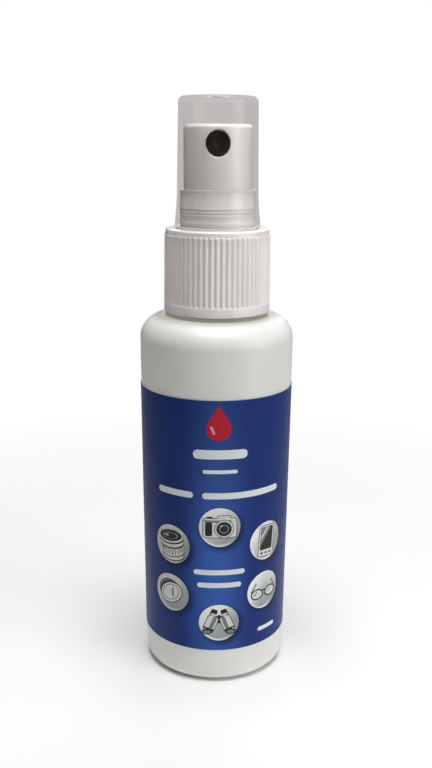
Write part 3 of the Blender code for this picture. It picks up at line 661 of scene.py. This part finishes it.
class Print:
    """Thin ink patches wrapped round the label at one place, gathered into one piece.

    A patch's level says how many ink layers lie under it, and its ink is the number of its material.
    """

    def __init__(self, across=0.0, up=0.0, turn=0.0, size=1.0, level=0):
        self.across, self.up = across, up
        self.turn, self.size = math.radians(turn), size
        self.radius, self.bottom = radius_of("label"), bottom_of("label")
        self.base_level = level
        self.verts, self.faces, self.inks = [], [], []

    def wrapped(self, point, radius):
        x, y = self.size * point[0], self.size * point[1]
        across = self.across + x * math.cos(self.turn) - y * math.sin(self.turn)
        up = self.up + x * math.sin(self.turn) + y * math.cos(self.turn)
        angle = PRINT_AZIMUTH + across * MM / self.radius
        return (radius * math.cos(angle), radius * math.sin(angle), self.bottom + up * MM)

    def skin(self, loops, level, ink, closed_middle):
        """A closed thin solid over nested loops of points, from the outermost loop to the innermost."""
        top = self.radius + (self.base_level + level + 1) * INK_THICKNESS
        low = top - INK_THICKNESS - INK_SINK
        count = len(loops[0])
        layers = []
        for radius in (top, low):
            layers.append(len(self.verts))
            for loop in loops:
                self.verts += [self.wrapped(point, radius) for point in loop]
            if closed_middle:
                middle = [sum(values) / count for values in zip(*loops[-1])]
                self.verts.append(self.wrapped(middle, radius))
        before = len(self.faces)
        for start in layers:
            for k in range(len(loops) - 1):
                for i in range(count):
                    j = (i + 1) % count
                    here, there = start + k * count, start + (k + 1) * count
                    self.faces.append((here + i, here + j, there + j, there + i))
            if closed_middle:
                last = start + (len(loops) - 1) * count
                for i in range(count):
                    self.faces.append((last + i, last + (i + 1) % count, last + count))
        rims = [0] if closed_middle else [0, len(loops) - 1]
        for rim in rims:
            for i in range(count):
                j = (i + 1) % count
                a, b = layers[0] + rim * count, layers[1] + rim * count
                self.faces.append((a + i, b + i, b + j, a + j))
        self.inks += [ink] * (len(self.faces) - before)

    def fill(self, outline, level=0, ink=0):
        middle = [sum(values) / len(outline) for values in zip(*outline)]
        reach = max(math.dist(point, middle) for point in outline)
        rings = max(1, math.ceil(reach / PRINT_STEP))
        loops = []
        for ring in range(rings):
            share = 1.0 - ring / rings
            loops.append([(middle[0] + (x - middle[0]) * share, middle[1] + (y - middle[1]) * share)
                          for x, y in outline])
        self.skin(loops, level, ink, True)

    def hoop(self, outer, inner, level=0, ink=0):
        """Fill between two outlines with the same number of points."""
        self.skin([outer, inner], level, ink, False)

    def finish(self, name, *materials):
        piece = add_piece(name, self.verts, self.faces, *materials)
        piece.data.polygons.foreach_set("material_index", self.inks)
        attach(piece, "bottle")


# The inks of a picture, in the order of its materials.
DARK, MIDDLE, LIGHT = 0, 1, 2


def draw_camera(ink):
    """A compact camera from the front."""
    ink.fill(plate(0.9, 2.2, 2.9, 1.3, 0.4), 0, DARK)
    ink.fill(plate(-2.2, 2.25, 1.3, 0.6, 0.2), 0, DARK)
    ink.fill(plate(0.9, 2.2, 2.6, 1.0, 0.3), 1, LIGHT)
    ink.fill(plate(0.0, -0.1, 7.5, 4.7, 0.8), 1, DARK)
    ink.fill(plate(0.0, -0.1, 7.2, 4.4, 0.7), 2, LIGHT)
    ink.fill(plate(0.0, 1.45, 6.9, 0.5, 0.2), 3, MIDDLE)
    ink.fill(plate(-2.4, -0.35, 1.5, 3.2, 0.4), 4, DARK)
    ink.fill(plate(2.9, 1.45, 0.9, 0.5, 0.15), 4, LIGHT)
    ink.fill(oval(0.9, -0.3, 4.3, 4.3), 4, MIDDLE)
    ink.fill(oval(0.9, -0.3, 3.9, 3.9), 5, LIGHT)
    ink.fill(oval(0.9, -0.3, 3.3, 3.3), 6, DARK)
    ink.hoop(oval(0.9, -0.3, 2.1, 2.1), oval(0.9, -0.3, 1.6, 1.6), 7, MIDDLE)
    ink.fill(oval(0.3, 0.4, 0.5, 0.4), 7, LIGHT)


def draw_lens(ink):
    """A camera lens standing up, its glass on top and rings round its barrel."""
    rings = [
        (-2.35, 4.9, 2.1, DARK),
        (-2.2, 4.6, 2.0, LIGHT),
        (-1.6, 5.0, 2.1, DARK),
        (-1.4, 4.9, 2.1, LIGHT),
        (0.2, 5.4, 2.3, DARK),
        (0.5, 5.3, 2.3, LIGHT),
        (1.2, 5.7, 2.5, DARK),
        (1.5, 5.6, 2.5, LIGHT),
    ]
    for level, (height, width, depth, tone) in enumerate(rings):
        outline = []
        for x, y in oval(0.0, height, width, depth):
            outline.append((x, y if y < height else height + 1.0))
        ink.fill(divided(outline), level, tone)
    level = len(rings)
    for groove in range(-4, 5):
        place = 2.3 * math.sin(math.radians(18 * groove))
        sag = 1.0 - math.cos(math.radians(18 * groove))
        ink.fill(plate(place, -1.6 + sag, 0.18, 1.0, 0.08), level, MIDDLE)
    ink.fill(oval(0.0, 1.7, 5.1, 2.2), level, DARK)
    ink.fill(oval(0.0, 1.7, 3.6, 1.4), level + 1, MIDDLE)
    ink.fill(oval(0.0, 1.65, 2.9, 1.1), level + 2, DARK)
    ink.fill(oval(-0.7, 1.8, 0.9, 0.3), level + 3, LIGHT)


def draw_phone(ink):
    """A pocket screen with three keys and a sheen across its glass."""
    ink.fill(plate(0.0, 0.0, 4.6, 7.5, 0.6), 0, DARK)
    ink.fill(plate(0.0, 0.0, 4.3, 7.2, 0.5), 1, LIGHT)
    ink.fill(plate(0.0, 0.6, 3.6, 5.4, 0.2), 2, DARK)
    ink.fill(divided([(-1.7, 3.2), (1.1, 3.2), (-1.7, -1.1)]), 3, MIDDLE)
    ink.fill(divided([(-1.7, 0.4), (0.3, 3.2), (-0.2, 3.2), (-1.7, 1.1)]), 4, LIGHT)
    for key in (-1, 0, 1):
        ink.fill(oval(1.2 * key, -2.85, 0.8, 0.4), 2, DARK)


def draw_filter(ink):
    """A screw-in lens filter: a ring round its glass, seen from the side."""
    ink.fill(oval(-0.3, 1.1, 5.9, 4.6), 0, DARK)
    ink.fill(oval(-0.2, 0.8, 6.0, 4.7), 1, MIDDLE)
    ink.fill(oval(-0.1, 0.5, 6.2, 4.8), 2, DARK)
    ink.fill(oval(0.0, 0.0, 6.4, 5.0), 3, DARK)
    ink.fill(oval(0.0, 0.0, 6.0, 4.6), 4, LIGHT)
    ink.hoop(oval(0.0, 0.1, 5.0, 3.7), oval(0.0, 0.1, 4.6, 3.3), 5, MIDDLE)
    ink.fill(plate(0.6, -0.1, 0.5, 2.2, 0.2, -30), 5, MIDDLE)


def draw_glasses(ink):
    """Folded spectacles from the front."""
    for side in (-1, 1):
        centre = side * 1.95
        ink.fill(plate(side * 2.9, 1.0, 0.4, 2.6, 0.2, side * 32), 0, MIDDLE)
        ink.hoop(oval(centre, -0.7, 3.4, 2.7), oval(centre, -0.7, 2.8, 2.1), 1, DARK)
        ink.fill(oval(centre, -0.7, 2.75, 2.05), 0, LIGHT)
        ink.fill(plate(centre - 0.4, -0.5, 0.25, 1.2, 0.12, -35), 1, MIDDLE)
    ink.hoop(oval(0.0, -0.4, 1.2, 1.2), oval(0.0, -0.5, 0.7, 0.8), 0, DARK)


def draw_binoculars(ink):
    """Binoculars from above, their barrels apart."""
    ink.fill(plate(0.0, 0.9, 2.4, 1.6, 0.5), 0, DARK)
    ink.fill(plate(0.0, 0.9, 2.1, 1.3, 0.4), 1, MIDDLE)
    ink.fill(plate(0.0, 0.9, 0.7, 2.0, 0.3), 2, DARK)
    for side in (-1, 1):
        lean = side * 22
        ink.fill(plate(side * 1.15, 2.4, 1.4, 1.7, 0.4, lean), 1, DARK)
        ink.fill(plate(side * 1.2, 2.0, 1.1, 0.5, 0.2, lean), 2, LIGHT)
        ink.fill(plate(side * 1.75, -0.2, 2.5, 4.2, 0.8, lean), 2, DARK)
        ink.fill(plate(side * 1.75, -0.2, 2.2, 3.9, 0.7, lean), 3, LIGHT)
        ink.fill(plate(side * 1.3, 0.0, 0.8, 3.4, 0.3, lean), 4, MIDDLE)
        ink.fill(plate(side * 2.2, -1.4, 2.3, 0.35, 0.15, lean), 5, DARK)
        ink.fill(oval(side * 2.5, -2.1, 2.2, 1.4), 5, DARK)
        ink.fill(oval(side * 2.5, -2.15, 1.6, 0.8), 6, MIDDLE)


def make_print():
    """Six badges with their pictures, a drop symbol, and plain bars in place of text."""
    silver = badge_material()
    shades = [
        ink_material("ink_dark", (0.010, 0.010, 0.011), (0.020, 0.020, 0.019)),
        ink_material("ink_middle", (0.22, 0.225, 0.225), (0.16, 0.165, 0.165)),
        ink_material("ink_light", (0.70, 0.71, 0.69), (0.60, 0.61, 0.60)),
    ]
    # How each picture is drawn, turned (in degrees) and sized.
    drawings = {
        "camera": (draw_camera, 0, 1.0),
        "lens": (draw_lens, 8, 1.18),
        "phone": (draw_phone, -4, 1.0),
        "filter": (draw_filter, 32, 1.0),
        "glasses": (draw_glasses, 0, 1.0),
        "binoculars": (draw_binoculars, 0, 1.05),
    }
    for name, (across, up) in BADGES.items():
        disc = Print(across, up)
        disc.fill(oval(0.0, 0.0, 2.0 * BADGE_RADIUS, 2.0 * BADGE_RADIUS))
        disc.finish("badge_" + name, silver)
        draw, turn, size = drawings[name]
        picture = Print(across, up, turn, size, level=1)
        draw(picture)
        picture.finish("picture_" + name, *shades)

    symbol = Print(-0.4, 53.2)
    symbol.fill(drop(5.6, 7.4))
    symbol.fill(plate(-1.25, -1.5, 0.6, 1.9, 0.3, 24), 1, 1)
    red = ink_material("ink_red", (0.50, 0.012, 0.035), (0.40, 0.008, 0.03))
    pink = ink_material("ink_pink", (0.72, 0.30, 0.36), (0.66, 0.26, 0.32))
    symbol.finish("drop_symbol", red, pink)

    white = ink_material("ink_white", (0.76, 0.79, 0.83), (0.68, 0.71, 0.75))
    bars = Print()
    # Each bar's middle (across, up), width and height.
    lines = [
        (0.0, 46.5, 11.6, 2.0),
        (0.0, 42.7, 7.4, 0.8),
        (-10.2, 37.3, 8.8, 1.4),
        (5.3, 37.3, 18.2, 1.4),
        (0.0, 19.4, 11.4, 1.2),
        (0.0, 16.3, 9.8, 1.2),
        (12.2, 3.6, 5.4, 1.0),
    ]
    for across, up, width, height in lines:
        bars.fill(plate(across, up, width, height, 0.5 * height))
    bars.finish("print_bars", white)


# ---------------------------------------------------------------- closure, spray head and overcap

def make_closure():
    """The ribbed screw collar, with the turret that guides the spray head."""
    low, turret_top = bottom_of("closure"), top_of("closure")
    crest_low = radius_of("closure")
    high = turret_top - 7.4 * MM
    taper = 0.3 * MM
    rib_count, rib_height = 60, 0.32 * MM
    rib_low, rib_high, run_out = low + 1.85 * MM, high - 0.9 * MM, 0.55 * MM
    band = crest_low - taper - 0.2 * MM
    rib_sharpness, steps_per_rib = 0.8, 10
    bore, hole, turret, turret_bore = 9.0 * MM, 5.6 * MM, 7.6 * MM, 7.1 * MM
    ceiling = high - 1.1 * MM
    thread_start = low + 3.76 * MM
    # Rings round the turret: height over the collar, half the height and depth of each, in millimetres.
    beads = [(1.35, 0.40, 0.14), (2.85, 0.20, 0.12), (3.45, 0.20, 0.12), (4.10, 0.20, 0.12)]

    def crest(height):
        return crest_low - taper * (height - low) / (high - low)

    corners = [(bore + 0.4 * MM, low, 0.0), (crest_low, low, 0.2 * MM)]
    heights = spread(rib_low, rib_low + run_out, 9)
    heights += spread(rib_low + run_out, rib_high - run_out, 8)[1:-1]
    heights += spread(rib_high - run_out, rib_high, 9)
    corners += [(crest(height), height, 0.0) for height in heights]
    corners += [(band, rib_high + 0.02 * MM, 0.0), (band, high, 0.22 * MM), (turret, high, 0.15 * MM)]
    for bead, half, proud in beads:
        corners.append((turret, high + (bead - half) * MM, 0.0))
        corners.append((turret + proud * MM, high + bead * MM, 0.08 * MM))
        corners.append((turret, high + (bead + half) * MM, 0.0))
    corners += [(turret, turret_top, 0.2 * MM), (turret_bore, turret_top, 0.2 * MM)]
    corners += [(turret_bore, high, 0.1 * MM), (hole, high, 0.2 * MM)]
    corners += [(hole, ceiling, 0.15 * MM), (bore, ceiling, 0.3 * MM)]
    corners += [(bore, level, 0.0) for level in spread(high - 2.0 * MM, low + 1.2 * MM, 56)]
    corners += [(bore, low + 0.4 * MM, 0.0)]

    def shape(reach, angle, height):
        """Ribs outside, and the screw thread inside."""
        if abs(reach - bore) < TINY:
            return reach - thread_rise(angle, height, thread_start)
        if reach < bore + 1.0 * MM or not rib_low <= height <= rib_high:
            return reach
        wave = 0.5 + 0.5 * math.cos(rib_count * angle)
        rib = wave ** rib_sharpness
        upper_end = ease((rib_high - height) / run_out)
        if upper_end < 1.0:
            return band + (reach - band) * rib * upper_end
        return reach - rib_height * (1.0 - rib) * ease((height - rib_low) / run_out)

    outline = rounded(corners)
    angles = even_angles(rib_count * steps_per_rib)
    piece = add_piece("closure_cap", *revolve(outline, angles, shape), closure_material())
    stand_for(piece, "closure", "closure_white", "closure")


def applied_cut(piece, tool):
    """Cut a piece with a tool, keep the result as its mesh and remove the tool."""
    modifier = piece.modifiers.new("cut", "BOOLEAN")
    modifier.operation = "DIFFERENCE"
    modifier.solver = "EXACT"
    modifier.object = tool
    graph = bpy.context.evaluated_depsgraph_get()
    piece.data = bpy.data.meshes.new_from_object(piece.evaluated_get(graph), depsgraph=graph)
    piece.modifiers.clear()
    bm = bmesh.new()
    bm.from_mesh(piece.data)
    bmesh.ops.remove_doubles(bm, verts=bm.verts, dist=TINY)
    bm.to_mesh(piece.data)
    bm.free()
    shade(piece.data)
    bpy.data.objects.remove(tool, do_unlink=True)


def facing_front(verts, height):
    """Points turned round Z, laid along -Y at a height."""
    return [(x, -z, y + height) for x, y, z in verts]


def make_spray_head():
    """The finger button: a dished top, a skirt, a socket for the stem and a recess for the nozzle."""
    radius, low, high = radius_of("actuator"), bottom_of("actuator"), top_of("actuator")
    skirt, roof = radius - 1.0 * MM, low + 7.2 * MM
    socket, socket_bore, socket_low = 3.0 * MM, 1.82 * MM, low + 0.6 * MM
    socket_top, channel_top = low + 6.5 * MM, low + 11.1 * MM
    channel = 0.9 * MM
    dish, dish_depth, dish_steps = 5.8 * MM, 0.4 * MM, 12
    corners = []
    for step in range(dish_steps + 1):
        share = step / dish_steps
        corners.append((dish * share, high - dish_depth * (1.0 - share * share), 0.0))
    corners += [(radius, high, 0.75 * MM), (radius, low, 0.2 * MM)]
    corners += [(skirt, low, 0.2 * MM), (skirt, roof, 0.4 * MM)]
    corners += [(socket, roof, 0.3 * MM), (socket, socket_low, 0.2 * MM)]
    corners += [(socket_bore, socket_low, 0.2 * MM), (socket_bore, socket_top, 0.0)]
    corners += [(channel, socket_top, 0.0), (channel, channel_top, 0.0), (0.0, channel_top, 0.0)]
    piece = add_piece("spray_head", *revolve(rounded(corners), even_angles(SEGMENTS)), head_material())

    nozzle_low, nozzle_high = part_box("nozzle_insert")
    height = 0.5 * (nozzle_low.z + nozzle_high.z)
    recess = 0.5 * (nozzle_high.z - nozzle_low.z) + 0.08 * MM
    back = -nozzle_high.y - 0.1 * MM
    face = -nozzle_low.y
    feed = 0.6 * MM
    clear = radius + 1.0 * MM
    corners = [(0.0, clear), (recess + 0.9 * MM, clear), (recess, face - 0.15 * MM)]
    corners += [(recess, back), (feed, back), (feed, 0.0), (0.0, 0.0)]
    verts, faces = revolve(corners, even_angles(96))
    tool = add_piece("nozzle_recess", facing_front(verts, height), faces)
    applied_cut(piece, tool)
    stand_for(piece, "spray_head", "closure_white", "actuator")


def make_nozzle():
    """A cup with a raised rim, a sunken face and a cone round the fine hole."""
    low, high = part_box("nozzle_insert")
    radius = 0.5 * (high.z - low.z)
    face, back = -low.y, -high.y
    bore, hole, floor = 1.5 * MM, 0.15 * MM, face - 0.9 * MM
    cone, ring, sunken = 0.7 * MM, face - 0.25 * MM, face - 0.12 * MM
    corners = [(radius, face, 0.12 * MM), (radius, back, 0.1 * MM), (bore, back, 0.1 * MM)]
    corners += [(bore, floor, 0.2 * MM), (hole, floor, 0.0)]
    corners += [(hole, face - 0.55 * MM, 0.0), (cone, ring, 0.05 * MM)]
    corners += [(0.95 * MM, ring, 0.05 * MM), (1.05 * MM, sunken, 0.03 * MM)]
    corners += [(radius - 0.45 * MM, sunken, 0.04 * MM), (radius - 0.38 * MM, face, 0.05 * MM)]
    verts, faces = revolve(rounded(corners), even_angles(128))
    height = 0.5 * (low.z + high.z)
    piece = add_piece("nozzle_cup", facing_front(verts, height), faces, nozzle_material())
    stand_for(piece, "spray_head", "nozzle_black", "nozzle_insert")


def make_overcap():
    """A thin cap with a dimple on top, and a foot that flares over the turret."""
    low, high = bottom_of("overcap"), top_of("overcap")
    rim = radius_of("overcap")
    waist, crown = rim - 0.5 * MM, rim - 0.88 * MM
    waist_height, wall = low + 7.05 * MM, 0.85 * MM
    socket, step_height, roof = rim - 0.96 * MM, low + 7.25 * MM, high - 1.2 * MM
    dimple = high - 0.25 * MM
    corners = [(0.0, dimple, 0.0), (1.2 * MM, dimple, 0.15 * MM), (1.6 * MM, high, 0.15 * MM)]
    corners += [(crown, high, 1.1 * MM)]
    flare_foot, flare_steps = low + 0.5 * MM, 24
    for step in range(flare_steps + 1):
        share = step / flare_steps
        reach = waist + (rim - waist) * share ** 1.5
        corners.append((reach, waist_height + (flare_foot - waist_height) * share, 0.0))
    corners += [(rim, low, 0.15 * MM), (socket, low, 0.2 * MM), (socket, step_height, 0.05 * MM)]
    corners += [(waist - wall, step_height, 0.1 * MM), (crown - wall, roof, 0.6 * MM)]
    corners += [(0.0, roof, 0.0)]
    verts, faces = revolve(rounded(corners), even_angles(SEGMENTS))
    piece = add_piece("overcap_shell", verts, faces, frosted_material())
    stand_for(piece, "overcap", "overcap_frosted", "overcap")


# ---------------------------------------------------------------- pump parts inside

def coil(radius, wire, low, high, turns):
    """A compression spring with a closed turn at each end."""
    per_turn, sides = 40, 12
    closed_rise = 2.0 * wire + 0.1 * MM
    open_rise = (high - low - 2.0 * wire - 2.0 * closed_rise) / (turns - 2)
    verts, faces = [], []
    steps = turns * per_turn
    for step in range(steps + 1):
        turn = step / per_turn
        open_turns = min(max(turn - 1.0, 0.0), turns - 2.0)
        last_turn = max(turn - turns + 1.0, 0.0)
        height = low + wire + closed_rise * min(turn, 1.0)
        height += open_rise * open_turns + closed_rise * last_turn
        for angle in even_angles(sides):
            reach = radius + wire * math.cos(angle)
            verts.append((reach * math.cos(math.tau * turn), reach * math.sin(math.tau * turn),
                          height + wire * math.sin(angle)))
    for step in range(steps):
        for i in range(sides):
            j = (i + 1) % sides
            here, there = step * sides, (step + 1) * sides
            faces.append((here + i, here + j, there + j, there + i))
    faces.append(tuple(range(sides)))
    faces.append(tuple(range(steps * sides, (steps + 1) * sides)))
    return verts, faces


def make_springs():
    """Both springs, wound as coils of wire on their bodies."""
    steel = steel_material()
    # Name, node, body, wire radius, turns, joint, and whether the upper end stays where it is.
    springs = [
        ("main_coil", "main_spring", "pump", 0.25 * MM, 7, "actuator_press", False),
        ("lag_coil", "precompression_spring", "plunger", 0.18 * MM, 3, "piston_lag", True),
    ]
    for name, node, body, wire, turns, joint, held_at_top in springs:
        low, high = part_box(node)
        piece = add_piece(name, *coil(high.x - wire, wire, low.z, high.z, turns), steel)
        stand_for(piece, body, "spring_steel", node)
        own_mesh(piece)


def finish_inner_nodes():
    """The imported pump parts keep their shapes. They get softened edges and their own materials."""
    natural = pump_material()
    finishes = {
        "gasket": gasket_material(),
        "pump_housing": natural,
        "lock_ring": natural,
        "upper_stem": natural,
        "lower_stem": natural,
        "piston": natural,
        "dip_tube": tube_material(),
        "check_ball": ball_material(),
        "cleaning_fluid": liquid_material(),
    }
    for name, material in finishes.items():
        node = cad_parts[name]
        node.data.materials.clear()
        node.data.materials.append(material)
        shade(node.data)
        edges = node.modifiers.new("softened_edges", "BEVEL")
        edges.width = 0.06 * MM
        edges.segments = 2
        edges.angle_limit = SHARP_ANGLE


# ---------------------------------------------------------------- studio

def make_floor():
    """A plain white floor that fades into the white surround, so that no horizon shows."""
    bm = bmesh.new()
    bmesh.ops.create_circle(bm, cap_ends=True, segments=128, radius=2.5)
    mesh = bpy.data.meshes.new("studio_floor")
    bm.to_mesh(mesh)
    bm.free()
    floor = new_object("studio_floor", mesh)
    surface = Surface("studio_white")
    seen = surface.node("LightPath").outputs["Is Camera Ray"]
    from_bottle = surface.length(surface.place)
    near = surface.between(from_bottle, 0.05, 0.12, 1.0, 0.0)
    bounce = surface.blend(near, (0.66, 0.65, 0.63), (0.97, 0.96, 0.94))
    white = surface.blend(seen, bounce, (0.90, 0.90, 0.90))
    surface.set(Base_Color=white, Roughness=0.7, Specular_IOR_Level=0.1)
    away = surface.times(surface.between(from_bottle, 0.04, 0.22), seen)
    glow = surface.node("Emission")
    glow.inputs["Strength"].default_value = 1.0
    surface.show(surface.mixed(away, surface.shader.outputs[0], glow.outputs[0]))
    mesh.materials.append(surface.material)


def make_world():
    """White where the camera sees it, and a dim warm light where it lights the object."""
    world = bpy.data.worlds.new("studio_world")
    world.use_nodes = True
    bpy.context.scene.world = world
    tree = world.node_tree
    seen = tree.nodes["Background"]
    seen.inputs["Color"].default_value = (1.0, 1.0, 1.0, 1.0)
    seen.inputs["Strength"].default_value = 1.0
    lighting = tree.nodes.new("ShaderNodeBackground")
    lighting.inputs["Color"].default_value = (1.0, 0.95, 0.85, 1.0)
    lighting.inputs["Strength"].default_value = 0.035
    path = tree.nodes.new("ShaderNodeLightPath")
    both = tree.nodes.new("ShaderNodeMixShader")
    tree.links.new(path.outputs["Is Camera Ray"], both.inputs[0])
    tree.links.new(lighting.outputs[0], both.inputs[1])
    tree.links.new(seen.outputs[0], both.inputs[2])
    tree.links.new(both.outputs[0], tree.nodes["World Output"].inputs["Surface"])


def softbox(name, place, aim, width, height, power, colour=(1.0, 1.0, 1.0)):
    data = bpy.data.lights.new(name, "AREA")
    data.shape = "RECTANGLE"
    data.size, data.size_y = width, height
    data.energy = power
    data.color = colour
    light = new_object(name, data)
    light.location = place
    light.rotation_euler = (Vector(aim) - Vector(place)).to_track_quat("-Z", "Y").to_euler()


def make_lights():
    middle = (0.0, 0.0, 0.07)
    softbox("key_light", (0.44, -0.27, 0.18), middle, 0.30, 0.40, 1.2)
    softbox("top_light", (0.0, -0.06, 0.55), middle, 0.30, 0.30, 3.0, (0.98, 0.99, 1.0))
    softbox("back_light", (0.10, 0.50, 0.35), middle, 0.35, 0.35, 0.6)


def make_camera():
    """Close to the bottle, about level with its spray head and looking down."""
    data = bpy.data.cameras.new("photo_camera")
    data.lens = 42.19
    data.sensor_width = 36.0
    data.shift_x, data.shift_y = 0.0008, 0.15
    data.clip_start, data.clip_end = 0.01, 20.0
    camera = new_object("photo_camera", data)
    place = Matrix.Translation((0.0, -0.19211, 0.11587))
    looking_down, roll = 21.88, 0.43
    tilt = Matrix.Rotation(math.radians(90.0 - looking_down), 4, "X")
    camera.matrix_world = place @ tilt @ Matrix.Rotation(math.radians(roll), 4, "Z")
    bpy.context.scene.camera = camera


make_bottle()
make_label()
make_print()
make_closure()
make_spray_head()
make_nozzle()
make_overcap()
make_springs()
finish_inner_nodes()
make_floor()
make_world()
make_lights()
make_camera()
bpy.context.scene.view_settings.view_transform = "Standard"
